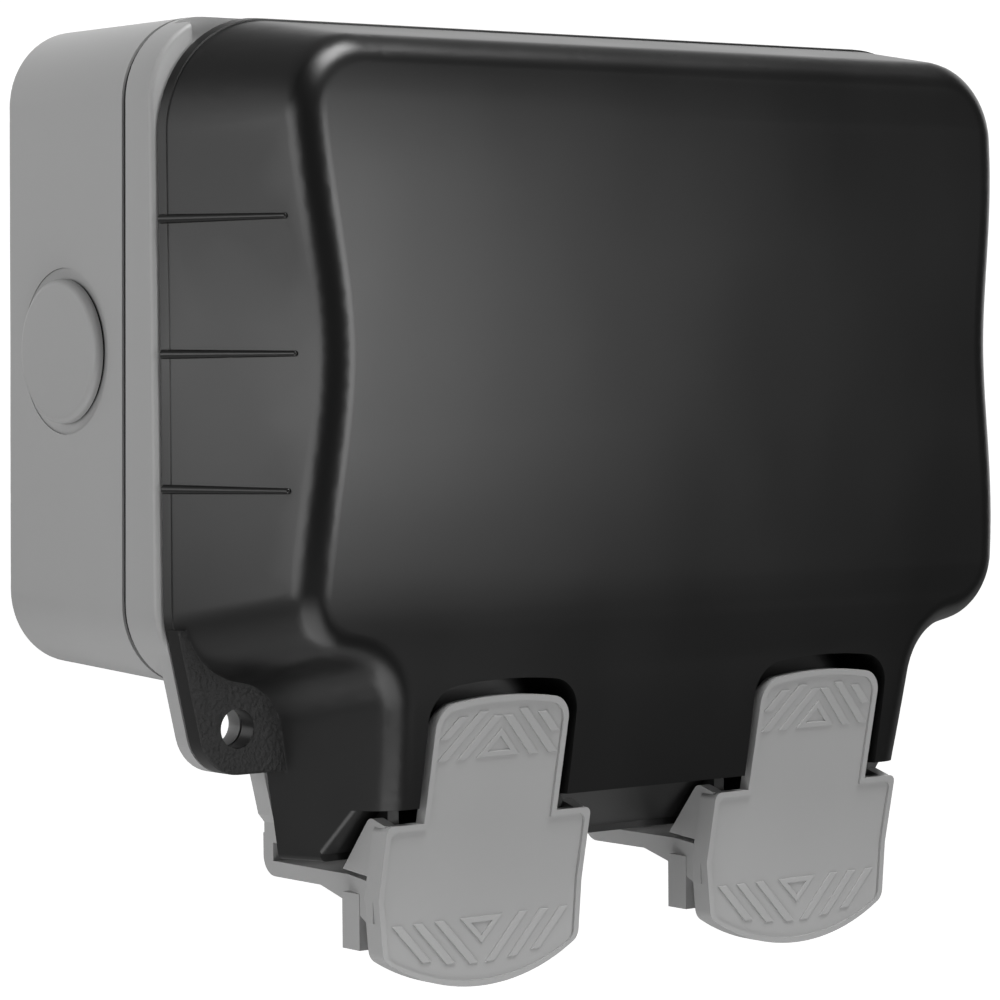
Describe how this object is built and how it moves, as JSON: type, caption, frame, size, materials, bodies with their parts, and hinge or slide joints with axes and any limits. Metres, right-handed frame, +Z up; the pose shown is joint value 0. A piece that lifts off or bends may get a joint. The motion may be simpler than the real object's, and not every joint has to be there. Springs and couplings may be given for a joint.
{
  "type": "outdoor weatherproof socket",
  "caption": "Wall-mounted weatherproof power socket with a grey back box and frame, a black top-hung lid, rocker latches, and switched outlets with shutters inside.",
  "frame": {"origin": "centre of the back box's wall face", "axes": "+Y into the wall, +Z up, +X to the right seen from the front"},
  "size_m": [0.2058, 0.0898, 0.187],
  "materials": {
    "grey_moulding": "fine satin moulding",
    "plug_grey": "fine satin moulding",
    "latch_grey": "satin moulding",
    "black_moulding": "satin black with a fine spark texture",
    "seal_rubber": "soft black foam rubber",
    "plate_grey": "satin moulding",
    "rocker_white": "semi gloss",
    "shutter_white": "satin",
    "cover_black": "satin",
    "brass": "bright stamped strip",
    "steel": "plated"
  },
  "bodies": {
    "enclosure": {"back_box": "grey_moulding", "frame": "grey_moulding", "entry_plug_left": "plug_grey", "entry_plug_right": "plug_grey", "box_gasket": "seal_rubber", "entry_seal_left": "seal_rubber", "entry_seal_right": "seal_rubber", "socket_plate": "plate_grey", "mechanism_cover": "cover_black", "neutral_bar": "brass", "earth_bar": "brass", "live_bar": "brass", "live_contact_left": "brass", "live_contact_right": "brass", "switch_leaf_left": "brass", "switch_leaf_right": "brass", "frame_screws": "steel", "module_screws": "steel", "terminal_screws": "steel", "hinge_pin_left": "steel", "hinge_pin_right": "steel", "shutter_spring_left": "steel", "shutter_spring_right": "steel"},
    "lid": {"lid": "black_moulding", "lid_seal": "seal_rubber", "cable_seal": "seal_rubber", "latch_pin_left": "steel", "latch_pin_right": "steel"},
    "latch_left": {"latch_left": "latch_grey"},
    "latch_right": {"latch_right": "latch_grey"},
    "switch_left": {"rocker_left": "rocker_white"},
    "switch_right": {"rocker_right": "rocker_white"},
    "shutter_left": {"shutter_left": "shutter_white"},
    "shutter_right": {"shutter_right": "shutter_white"}
  },
  "joints": [
    {"name": "lid_hinge", "type": "hinge", "parent": "enclosure", "child": "lid", "pos_m": [0, -0.0514, 0.0606], "axis": [-1, 0, 0], "range_deg": [0, 100]},
    {"name": "latch_left_rock", "type": "hinge", "parent": "lid", "child": "latch_left", "pos_m": [-0.0413, -0.07428, -0.09394], "axis": [-1, 0, 0], "range_deg": [0, 14]},
    {"name": "switch_left_rock", "type": "hinge", "parent": "enclosure", "child": "switch_left", "pos_m": [-0.0074, -0.0415, 0.009], "axis": [1, 0, 0], "range_deg": [0, 12]},
    {"name": "shutter_left_slide", "type": "slide", "parent": "enclosure", "child": "shutter_left", "axis": [0, 0, -1], "range_m": [0, 0.007], "stiffness_N_per_m": 150, "springref_m": -0.003, "deforming": ["shutter_spring_left"]},
    {"name": "latch_right_rock", "type": "hinge", "parent": "lid", "child": "latch_right", "pos_m": [0.0413, -0.07428, -0.09394], "axis": [-1, 0, 0], "range_deg": [0, 14]},
    {"name": "switch_right_rock", "type": "hinge", "parent": "enclosure", "child": "switch_right", "pos_m": [0.0074, -0.0415, 0.009], "axis": [1, 0, 0], "range_deg": [0, 12]},
    {"name": "shutter_right_slide", "type": "slide", "parent": "enclosure", "child": "shutter_right", "axis": [0, 0, -1], "range_m": [0, 0.007], "stiffness_N_per_m": 150, "springref_m": -0.003, "deforming": ["shutter_spring_right"]}
  ]
}
